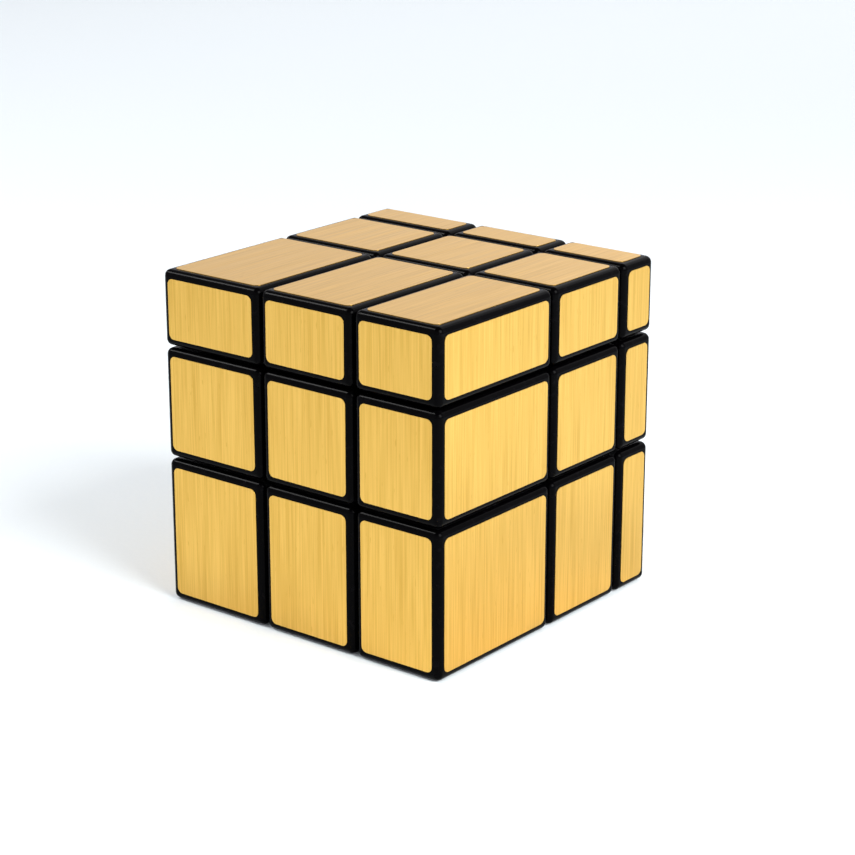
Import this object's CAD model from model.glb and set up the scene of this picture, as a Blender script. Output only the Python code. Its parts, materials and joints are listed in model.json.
"""Mirror block cube: glossy black blocks of different sizes under brushed gold foils."""

import json
import math
import random

import bpy
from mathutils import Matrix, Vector


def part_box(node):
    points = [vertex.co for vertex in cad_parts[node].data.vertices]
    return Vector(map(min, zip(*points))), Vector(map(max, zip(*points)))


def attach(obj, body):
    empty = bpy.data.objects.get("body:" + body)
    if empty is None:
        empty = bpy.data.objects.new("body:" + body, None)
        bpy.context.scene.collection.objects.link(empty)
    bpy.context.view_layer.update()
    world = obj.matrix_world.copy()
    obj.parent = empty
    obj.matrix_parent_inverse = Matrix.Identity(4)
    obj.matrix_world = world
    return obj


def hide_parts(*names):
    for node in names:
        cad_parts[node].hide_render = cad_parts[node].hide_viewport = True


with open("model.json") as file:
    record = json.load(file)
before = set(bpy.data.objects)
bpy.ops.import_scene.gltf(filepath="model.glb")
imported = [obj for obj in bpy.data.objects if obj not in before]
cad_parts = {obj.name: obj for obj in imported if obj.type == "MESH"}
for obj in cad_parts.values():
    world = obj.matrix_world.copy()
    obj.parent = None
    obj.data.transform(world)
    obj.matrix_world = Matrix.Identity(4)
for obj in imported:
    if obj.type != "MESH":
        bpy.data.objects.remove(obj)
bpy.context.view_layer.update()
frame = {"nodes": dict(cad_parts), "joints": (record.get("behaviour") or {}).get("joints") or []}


# ---- Block shells -------------------------------------------------------------------------
# Each of the 26 blocks is a hollow injection moulding in glossy black plastic, open towards the
# core. All its edges are rounded, so that the layers slide past each other without catching.
mm = 0.001
shell_round = 1.1 * mm
shell_wall = 1.15 * mm
round_steps = 8
flat_within = math.radians(35)
turning_layer = {1: "top_layer", 0: "middle", -1: "bottom_layer"}


def blocks(outer_faces):
    """The places of the blocks with that many outer faces: -1, 0 or 1 along X, Y and Z."""
    steps = (-1, 0, 1)
    places = [(x, y, z) for z in steps for y in steps for x in steps]
    return [place for place in places if sum(map(abs, place)) == outer_faces]


def block_name(place):
    x, y, z = place
    kind = ("centre", "edge", "corner")[sum(map(abs, place)) - 1]
    words = (("bottom", "", "top")[z + 1], ("front", "", "back")[y + 1],
             ("left", "", "right")[x + 1])
    return "_".join([kind] + [word for word in words if word])


def deselect_everything():
    if bpy.context.object and bpy.context.object.mode != "OBJECT":
        bpy.ops.object.mode_set(mode="OBJECT")
    bpy.ops.object.select_all(action="DESELECT")


def add_cuboid(name, low, high, turn=0, axis=2):
    """A cuboid between two corners, turned a little about its middle, its place in its mesh."""
    deselect_everything()
    bpy.ops.mesh.primitive_cube_add(size=1, location=(low + high) / 2)
    piece = bpy.context.object
    piece.name = name
    piece.data.name = name
    piece.scale = high - low
    piece.rotation_euler[axis] = turn
    bpy.ops.object.transform_apply(location=True, rotation=True, scale=True)
    return piece


def select_faces(piece, wanted):
    """Goes into edit mode with only those faces selected whose centre and normal are wanted."""
    bpy.ops.object.mode_set(mode="EDIT")
    bpy.ops.mesh.select_mode(type="FACE")
    bpy.ops.mesh.select_all(action="DESELECT")
    bpy.ops.object.mode_set(mode="OBJECT")
    for face in piece.data.polygons:
        face.select = wanted(face.center, face.normal)
    bpy.ops.object.mode_set(mode="EDIT")


def apply_modifier(piece, kind, **settings):
    """Adds a modifier of that kind to the piece and applies it at once."""
    modifier = piece.modifiers.new(kind.lower(), kind)
    for setting, value in settings.items():
        setattr(modifier, setting, value)
    deselect_everything()
    piece.select_set(True)
    bpy.context.view_layer.objects.active = piece
    bpy.ops.object.modifier_apply(modifier=modifier.name)


def mould_shell(node, place):
    """A rounded block where the CAD shell lies, opened on the sides that face the core."""
    low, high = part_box(node)
    piece = add_cuboid(block_name(place) + "_moulding", low, high)
    bpy.ops.object.mode_set(mode="EDIT")
    bpy.ops.mesh.select_all(action="SELECT")
    bpy.ops.mesh.bevel(offset=shell_round, segments=round_steps, affect="EDGES")
    wall = Vector((shell_wall,) * 3)
    inner_low, inner_high = low + wall, high - wall
    for axis, side in enumerate(place):
        across = [float(axis == i) for i in range(3)]
        for corner, walled in ((inner_low, side <= 0), (inner_high, side >= 0)):
            if walled:
                bpy.ops.mesh.select_all(action="SELECT")
                bpy.ops.mesh.bisect(plane_co=corner, plane_no=across)

    def faces_core(centre, normal):
        return all((place[i] > 0 or centre[i] > inner_low[i]) and
                   (place[i] < 0 or centre[i] < inner_high[i]) for i in range(3))

    select_faces(piece, faces_core)
    bpy.ops.mesh.delete(type="FACE")
    bpy.ops.object.mode_set(mode="OBJECT")
    apply_modifier(piece, "SOLIDIFY", thickness=shell_wall, offset=-1, use_even_offset=True)
    return piece


def finish_moulding(piece, node, place):
    """Smooth roundings with flat faces between them, black plastic, and the layer it turns with."""
    piece.data.materials.clear()
    piece.data.materials.append(black_plastic)
    deselect_everything()
    piece.select_set(True)
    bpy.context.view_layer.objects.active = piece
    bpy.ops.object.shade_smooth_by_angle(angle=flat_within)
    apply_modifier(piece, "WEIGHTED_NORMAL", keep_sharp=True, weight=100)
    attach(piece, turning_layer[place[2]])
    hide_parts(node)


def new_material(name):
    """An empty node material, its nodes and links, and its surface shader."""
    material = bpy.data.materials.new(name)
    material.use_nodes = True
    nodes = material.node_tree.nodes
    return material, nodes, material.node_tree.links, nodes["Principled BSDF"]


def add_noise(nodes, links, vector, scale, stretch=(1, 1, 1), detail=3.0):
    """A noise pattern over that vector, stretched along its axes."""
    mapping = nodes.new("ShaderNodeMapping")
    mapping.inputs["Scale"].default_value = stretch
    noise = nodes.new("ShaderNodeTexNoise")
    noise.inputs["Scale"].default_value = scale
    noise.inputs["Detail"].default_value = detail
    links.new(vector, mapping.inputs["Vector"])
    links.new(mapping.outputs["Vector"], noise.inputs["Vector"])
    return noise.outputs["Fac"]


def add_range(nodes, links, value, low, high, from_low=0.3, from_high=0.7):
    """Carries a pattern's values over to another range."""
    node = nodes.new("ShaderNodeMapRange")
    node.inputs["From Min"].default_value = from_low
    node.inputs["From Max"].default_value = from_high
    node.inputs["To Min"].default_value = low
    node.inputs["To Max"].default_value = high
    links.new(value, node.inputs["Value"])
    return node.outputs["Result"]


def add_bump(nodes, links, shader, height, depth, strength=1.0):
    """Raises the surface by a pattern, by that depth in metres."""
    bump = nodes.new("ShaderNodeBump")
    bump.inputs["Distance"].default_value = depth
    bump.inputs["Strength"].default_value = strength
    links.new(height, bump.inputs["Height"])
    links.new(bump.outputs["Normal"], shader.inputs["Normal"])


def moulded_plastic(name, colour, dusty_colour, smooth, handled, ripple, polish):
    """Injection-moulded plastic: a faint ripple, a skin worn uneven by hands, a little dust."""
    material, nodes, links, shader = new_material(name)
    place = nodes.new("ShaderNodeTexCoord").outputs["Object"]
    dust = add_noise(nodes, links, place, 900, detail=6)
    handling = add_noise(nodes, links, place, 140, detail=4)
    skin = add_noise(nodes, links, place, 420, detail=2)
    tint = nodes.new("ShaderNodeMix")
    tint.data_type = "RGBA"
    tint.inputs["A"].default_value = (*colour, 1)
    tint.inputs["B"].default_value = (*dusty_colour, 1)
    links.new(add_range(nodes, links, dust, 0, 1, 0.58, 0.8), tint.inputs["Factor"])
    links.new(tint.outputs["Result"], shader.inputs["Base Color"])
    links.new(add_range(nodes, links, handling, smooth, handled), shader.inputs["Roughness"])
    shader.inputs["Specular IOR Level"].default_value = polish
    add_bump(nodes, links, shader, skin, ripple, 0.6)
    return material


black_plastic = moulded_plastic(
    "glossy black plastic", colour=(0.0005, 0.0004, 0.0006), dusty_colour=(0.0035, 0.003, 0.004),
    smooth=0.13, handled=0.22, ripple=0.006 * mm, polish=0.028)

# The corner blocks carry three foils each, and none of the other layers' tracks cuts into them.
for place in blocks(outer_faces=3):
    node = block_name(place) + "_shell"
    finish_moulding(mould_shell(node, place), node, place)


# ---- Tracks through the edge and centre blocks --------------------------------------------
# A round track is cut into every block that a layer turns past, on both sides of each axis, so
# that the feet of the turning blocks run through it. Two discs per axis take it out of the shells.
core_middle = Vector(frame["joints"][0]["pos_m"])
track_radius = 16.2 * mm
track_from = 6.1 * mm
track_to = 10.5 * mm
track_steps = 192
tracks = []
for axis in range(3):
    deselect_everything()
    for side in (-1, 1):
        middle = core_middle.copy()
        middle[axis] += side * (track_from + track_to) / 2
        turn = [(0, math.pi / 2, 0), (math.pi / 2, 0, 0), (0, 0, 0)][axis]
        bpy.ops.mesh.primitive_cylinder_add(
            vertices=track_steps, radius=track_radius, depth=track_to - track_from,
            location=middle, rotation=turn)
        disc = bpy.context.object
        if side < 0:
            first_disc = disc
    first_disc.select_set(True)
    bpy.ops.object.join()
    bpy.ops.object.transform_apply(location=True, rotation=True, scale=True)
    bpy.context.object.name = "track_cutter"
    tracks.append(bpy.context.object)

for outer_faces in (2, 1):
    for place in blocks(outer_faces):
        node = block_name(place) + ("_shell" if outer_faces == 2 else "_cap")
        moulding = mould_shell(node, place)
        for axis in range(3):
            if place[axis] == 0:
                apply_modifier(moulding, "BOOLEAN", object=tracks[axis], operation="DIFFERENCE",
                               solver="MANIFOLD")
        finish_moulding(moulding, node, place)
for cutter in tracks:
    bpy.data.objects.remove(cutter)


# ---- Foils --------------------------------------------------------------------------------
# 54 self-adhesive foils of gold-coloured metallised film, brushed in one direction and punched
# out with round corners. They are stuck on by hand, so no two lie in quite the same place.
foil_thickness = 0.1 * mm
foil_margin = 1.3 * mm
foil_corner = 1.0 * mm
corner_steps = 10
foil_cut_edge = 0.015 * mm
cut_edge_steps = 2
foil_flat_within = math.radians(20)
stuck_askew = math.radians(0.25)
stuck_aside = 0.07 * mm
face_words = ({-1: "left", 1: "right"}, {-1: "front", 1: "back"}, {-1: "bottom", 1: "top"})
random.seed(54)


def brushed_gold_foil():
    """Gold film, brushed along V: hairlines and streaks that start and stop, and a few flecks."""
    material, nodes, links, shader = new_material("brushed gold foil")
    uv = nodes.new("ShaderNodeUVMap")
    uv.uv_map = "brushing"
    brushing = uv.outputs["UV"]
    hairs = add_noise(nodes, links, brushing, scale=1, stretch=(3.4, 0.055, 1), detail=3)
    streaks = add_noise(nodes, links, brushing, scale=1, stretch=(1.6, 0.03, 1), detail=2)
    bands = add_noise(nodes, links, brushing, scale=1, stretch=(0.45, 0.02, 1), detail=1)
    flecks = add_noise(nodes, links, brushing, scale=1, stretch=(3.0, 0.4, 1), detail=1)
    deep_gold, bright_gold = (0.606, 0.356, 0.067, 1), (0.757, 0.464, 0.108, 1)

    def add_up(pattern, share, others):
        total = nodes.new("ShaderNodeMath")
        total.operation = "MULTIPLY_ADD"
        total.inputs[1].default_value = share
        links.new(pattern, total.inputs[0])
        if others is None:
            total.inputs[2].default_value = 0
        else:
            links.new(others, total.inputs[2])
        return total.outputs[0]

    scored = add_up(hairs, 0.62, add_up(streaks, 0.22, add_up(bands, 0.16, None)))
    scored = add_up(add_range(nodes, links, flecks, 0, 1, 0.7, 0.78), -0.3, scored)
    ramp = nodes.new("ShaderNodeValToRGB")
    for stop, position, gold in zip(
            ramp.color_ramp.elements, (0.375, 0.605), (deep_gold, bright_gold)):
        stop.position = position
        stop.color = gold
    links.new(scored, ramp.inputs["Fac"])
    links.new(ramp.outputs["Color"], shader.inputs["Base Color"])
    links.new(add_range(nodes, links, streaks, 0.29, 0.35), shader.inputs["Roughness"])
    shader.inputs["Metallic"].default_value = 1
    shader.inputs["Anisotropic"].default_value = 0.6
    tangent = nodes.new("ShaderNodeTangent")
    tangent.direction_type = "UV_MAP"
    tangent.uv_map = "brushing"
    links.new(tangent.outputs["Tangent"], shader.inputs["Tangent"])
    add_bump(nodes, links, shader, scored, 0.006 * mm, 0.5)
    return material


gold_foil = brushed_gold_foil()


def select_edges(piece, wanted):
    """Goes into edit mode with only those edges selected whose two ends are wanted."""
    bpy.ops.object.mode_set(mode="EDIT")
    bpy.ops.mesh.select_mode(type="EDGE")
    bpy.ops.mesh.select_all(action="DESELECT")
    bpy.ops.object.mode_set(mode="OBJECT")
    points = piece.data.vertices
    for edge in piece.data.edges:
        edge.select = wanted(*[points[i].co for i in edge.vertices])
    bpy.ops.object.mode_set(mode="EDIT")


def stick_foil(place, axis):
    """The foil on that outer face of a block, over the flat between its rounded edges."""
    side = place[axis]
    node = block_name(place) + ("_cap" if sum(map(abs, place)) == 1 else "_shell")
    low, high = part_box(node)
    margin = Vector((foil_margin,) * 3)
    low, high = low + margin, high - margin
    face = high[axis] + foil_margin if side > 0 else low[axis] - foil_margin - foil_thickness
    low[axis], high[axis] = face, face + foil_thickness
    for other in range(3):
        if other != axis:
            aside = random.uniform(-stuck_aside, stuck_aside)
            low[other] += aside
            high[other] += aside
    name = f"foil_{face_words[axis][side]}_of_{block_name(place)}"
    piece = add_cuboid(name, low, high, random.uniform(-stuck_askew, stuck_askew), axis)
    outer = high[axis] if side > 0 else low[axis]

    def runs_through(a, b):
        return abs(a[axis] - b[axis]) > foil_thickness / 2

    def on_outer_face(a, b):
        return all(abs(end[axis] - outer) < foil_thickness / 4 for end in (a, b))

    select_edges(piece, runs_through)
    bpy.ops.mesh.bevel(offset=foil_corner, segments=corner_steps, affect="EDGES")
    bpy.ops.object.mode_set(mode="OBJECT")
    select_edges(piece, on_outer_face)
    bpy.ops.mesh.bevel(offset=foil_cut_edge, segments=cut_edge_steps, affect="EDGES")
    bpy.ops.object.mode_set(mode="OBJECT")

    along = 1 if axis == 2 else 2
    across = 3 - axis - along
    cut_from = (random.uniform(0, 400), random.uniform(0, 400))
    brushing = piece.data.uv_layers[0]
    brushing.name = "brushing"
    for loop in piece.data.loops:
        point = piece.data.vertices[loop.vertex_index].co
        brushing.data[loop.index].uv = (
            point[across] / mm + cut_from[0], point[along] / mm + cut_from[1])
    piece.data.materials.append(gold_foil)
    bpy.ops.object.shade_smooth_by_angle(angle=foil_flat_within)
    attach(piece, turning_layer[place[2]])
    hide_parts({1: "top", 0: "middle", -1: "bottom"}[place[2]] + "_layer_foils")


for outer_faces in (3, 2, 1):
    for place in blocks(outer_faces):
        for axis in range(3):
            if place[axis]:
                stick_foil(place, axis)


# ---- Feet and bases -----------------------------------------------------------------------
# The feet close the shells and reach under the neighbours, and the bases turn on the core's
# arms. They are moulded in the same black plastic, left less polished and rubbed by turning.
satin_plastic = moulded_plastic(
    "satin black plastic", colour=(0.004, 0.004, 0.0045), dusty_colour=(0.02, 0.02, 0.021),
    smooth=0.32, handled=0.46, ripple=0.01 * mm, polish=0.2)


def finish_node(name, material):
    """Gives a CAD node its material."""
    shape = frame["nodes"][name].data
    shape.materials.clear()
    shape.materials.append(material)


for outer_faces in (3, 2, 1):
    for place in blocks(outer_faces):
        finish_node(block_name(place) + ("_base" if outer_faces == 1 else "_foot"), satin_plastic)


# ---- Core ---------------------------------------------------------------------------------
# One white moulding, a ball with six arms, in a tough plastic that the screws cut their own
# thread into. It is matt, with a faint grain from the mould.
finish_node("core", moulded_plastic(
    "white core plastic", colour=(0.72, 0.72, 0.69), dusty_colour=(0.6, 0.6, 0.57),
    smooth=0.45, handled=0.6, ripple=0.012 * mm, polish=0.5))


# ---- Screws, washers and springs ----------------------------------------------------------
# Zinc-plated steel screws and washers, and springs of drawn steel wire. The plating is pale and
# slightly cloudy, and the wire is darker and finely scored along its length.
def plated_steel(name, colour, cloudy_colour, smooth, rough):
    """Plated steel, clouded by a soft pattern and lightly scratched."""
    material, nodes, links, shader = new_material(name)
    place = nodes.new("ShaderNodeTexCoord").outputs["Object"]
    clouds = add_noise(nodes, links, place, 700, detail=4)
    scratches = add_noise(nodes, links, place, 2600, (1, 1, 6), detail=2)
    tint = nodes.new("ShaderNodeMix")
    tint.data_type = "RGBA"
    tint.inputs["A"].default_value = (*colour, 1)
    tint.inputs["B"].default_value = (*cloudy_colour, 1)
    links.new(add_range(nodes, links, clouds, 0, 1), tint.inputs["Factor"])
    links.new(tint.outputs["Result"], shader.inputs["Base Color"])
    links.new(add_range(nodes, links, scratches, smooth, rough), shader.inputs["Roughness"])
    shader.inputs["Metallic"].default_value = 1
    add_bump(nodes, links, shader, scratches, 0.004 * mm, 0.5)
    return material


zinc = plated_steel(
    "zinc plated steel", colour=(0.62, 0.63, 0.65), cloudy_colour=(0.5, 0.51, 0.54),
    smooth=0.22, rough=0.4)
finish_node("centre_screws", zinc)
finish_node("centre_washers", zinc)
finish_node("centre_springs", plated_steel(
    "drawn steel wire", colour=(0.45, 0.45, 0.46), cloudy_colour=(0.33, 0.33, 0.35),
    smooth=0.25, rough=0.42))


# ---- Table top ----------------------------------------------------------------------------
# A pale sheet that the cube stands on, with a fine paper tooth.
def pale_sheet():
    """A matt, faintly blue white, with the tooth raised a little."""
    material, nodes, links, shader = new_material("pale sheet")
    place = nodes.new("ShaderNodeTexCoord").outputs["Object"]
    shader.inputs["Base Color"].default_value = (0.845, 0.9, 0.915, 1)
    shader.inputs["Roughness"].default_value = 0.75
    shader.inputs["Specular IOR Level"].default_value = 0.2
    add_bump(nodes, links, shader, add_noise(nodes, links, place, 900, detail=4), 0.15 * mm, 0.5)
    return material


deselect_everything()
bpy.ops.mesh.primitive_plane_add(size=6, location=(0, 0, 0))
table_top = bpy.context.object
table_top.name = "table_top"
table_top.data.materials.append(pale_sheet())


# ---- Light --------------------------------------------------------------------------------
# A white room, brighter round the horizon than overhead, with four soft boxes: a near one at the
# right, a narrow one at the left that draws a soft line along the top roundings, a dim one over
# the table top behind the cube, and a last one that faces away and lights the far table top.
bpy.context.scene.view_settings.view_transform = "Standard"
room = bpy.data.worlds.new("white room")
bpy.context.scene.world = room
room.use_nodes = True
room_nodes, room_links = room.node_tree.nodes, room.node_tree.links
direction = room_nodes.new("ShaderNodeTexCoord").outputs["Generated"]
parts_of_direction = room_nodes.new("ShaderNodeSeparateXYZ")
room_links.new(direction, parts_of_direction.inputs[0])
upwards = room_nodes.new("ShaderNodeValToRGB")
walls, ceiling = upwards.color_ramp.elements
walls.position = 0.42
walls.color = (1.04, 1.03, 1.09, 1)
ceiling.position = 0.76
ceiling.color = (0.26, 0.26, 0.28, 1)
room_links.new(parts_of_direction.outputs["Z"], upwards.inputs["Fac"])
room_links.new(upwards.outputs["Color"], room_nodes["Background"].inputs["Color"])


def soft_box(name, towards, width, height, radiance, distance=0.8, facing=None):
    """A soft box that far from the cube in that direction, with that brightness of its face."""
    towards = Vector(towards).normalized()
    facing = Vector(facing) if facing else -towards
    deselect_everything()
    bpy.ops.object.light_add(type="AREA", location=distance * towards)
    light = bpy.context.object
    light.name = name
    light.data.shape = "RECTANGLE"
    light.data.size = width
    light.data.size_y = height
    light.data.energy = radiance * math.pi * width * height
    light.rotation_euler = facing.to_track_quat("-Z", "Y").to_euler()


soft_box("left soft box", (-0.593, -0.31, 0.743), width=0.12, height=0.26, radiance=26)
soft_box("right soft box", (0.78, -0.06, 0.62), width=0.3, height=0.3, radiance=11, distance=0.5)
soft_box("back soft box", (-0.03, 0.85, 0.53), width=0.9, height=0.6, radiance=1.5, distance=1.2)
soft_box("far soft box", (-0.35, 0.45, 0.6), width=0.6, height=0.3, radiance=2, distance=0.83,
         facing=(-0.63, 0.78, -0.45))


# ---- Camera -------------------------------------------------------------------------------
# A long lens, a little above the cube, looking at its front right edge.
looking_at = Vector((3.52 * mm, 0, 29.35 * mm))
turned_right = math.radians(38.6)
raised = math.radians(18.09)
distance = 402.8 * mm
towards_camera = Vector((
    math.sin(turned_right) * math.cos(raised),
    -math.cos(turned_right) * math.cos(raised),
    math.sin(raised)))
deselect_everything()
bpy.ops.object.camera_add(
    location=looking_at + distance * towards_camera,
    rotation=(-towards_camera).to_track_quat("-Z", "Y").to_euler())
camera = bpy.context.object
camera.data.lens = 102.8
camera.data.sensor_width = 36
camera.data.clip_start = 0.01
bpy.context.scene.camera = camera
